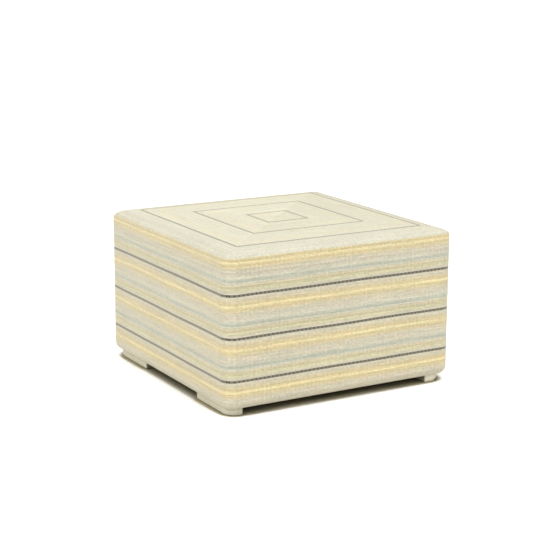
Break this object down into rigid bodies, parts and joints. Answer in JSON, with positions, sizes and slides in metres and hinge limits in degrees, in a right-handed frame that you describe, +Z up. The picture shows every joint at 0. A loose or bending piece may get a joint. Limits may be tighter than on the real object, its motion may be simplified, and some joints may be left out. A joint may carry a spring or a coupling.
{
  "type": "outdoor ottoman",
  "caption": "Square outdoor ottoman footstool: a striped synthetic weave with rounded edges, stretched over a tube frame on low woven feet.",
  "frame": {"origin": "on the floor, under the middle of the stool", "axes": "+Z up, -Y towards the front, the side at the right of the picture; +X to that side's right"},
  "size_m": [0.64, 0.64, 0.396],
  "materials": {
    "woven_side": "striped flat weave of synthetic strands",
    "woven_top": "striped flat weave of synthetic strands, mitred on the diagonals",
    "woven_foot": "plain flat weave of synthetic strands",
    "frame": "powder coated",
    "casting": "sand cast",
    "strip": "extruded, bare",
    "glide": "moulded, fine texture",
    "screw": "stainless"
  },
  "bodies": {
    "root": {"side_weave": "woven_side", "top_weave": "woven_top", "foot_weave_front_left": "woven_foot", "foot_weave_front_right": "woven_foot", "foot_weave_back_right": "woven_foot", "foot_weave_back_left": "woven_foot", "top_rail_front": "frame", "top_rail_right": "frame", "top_rail_back": "frame", "top_rail_left": "frame", "bottom_rail_front": "frame", "bottom_rail_right": "frame", "bottom_rail_back": "frame", "bottom_rail_left": "frame", "side_upright_front": "frame", "side_upright_right": "frame", "side_upright_back": "frame", "side_upright_left": "frame", "corner_post_front_left": "frame", "corner_post_front_right": "frame", "corner_post_back_right": "frame", "corner_post_back_left": "frame", "mitre_bar_front_left": "frame", "mitre_bar_front_right": "frame", "mitre_bar_back_right": "frame", "mitre_bar_back_left": "frame", "gusset_front_left": "frame", "gusset_front_right": "frame", "gusset_back_right": "frame", "gusset_back_left": "frame", "centre_hub": "casting", "foot_casting_front_left": "casting", "foot_casting_front_right": "casting", "foot_casting_back_right": "casting", "foot_casting_back_left": "casting", "holding_strip_front": "strip", "holding_strip_right": "strip", "holding_strip_back": "strip", "holding_strip_left": "strip", "foot_glide_front_left": "glide", "foot_glide_front_right": "glide", "foot_glide_back_right": "glide", "foot_glide_back_left": "glide", "strip_screw_front_1": "screw", "strip_screw_front_2": "screw", "strip_screw_right_1": "screw", "strip_screw_right_2": "screw", "strip_screw_back_1": "screw", "strip_screw_back_2": "screw", "strip_screw_left_1": "screw", "strip_screw_left_2": "screw", "glide_screw_front_left_1": "screw", "glide_screw_front_left_2": "screw", "glide_screw_front_right_1": "screw", "glide_screw_front_right_2": "screw", "glide_screw_back_right_1": "screw", "glide_screw_back_right_2": "screw", "glide_screw_back_left_1": "screw", "glide_screw_back_left_2": "screw"}
  },
  "joints": []
}
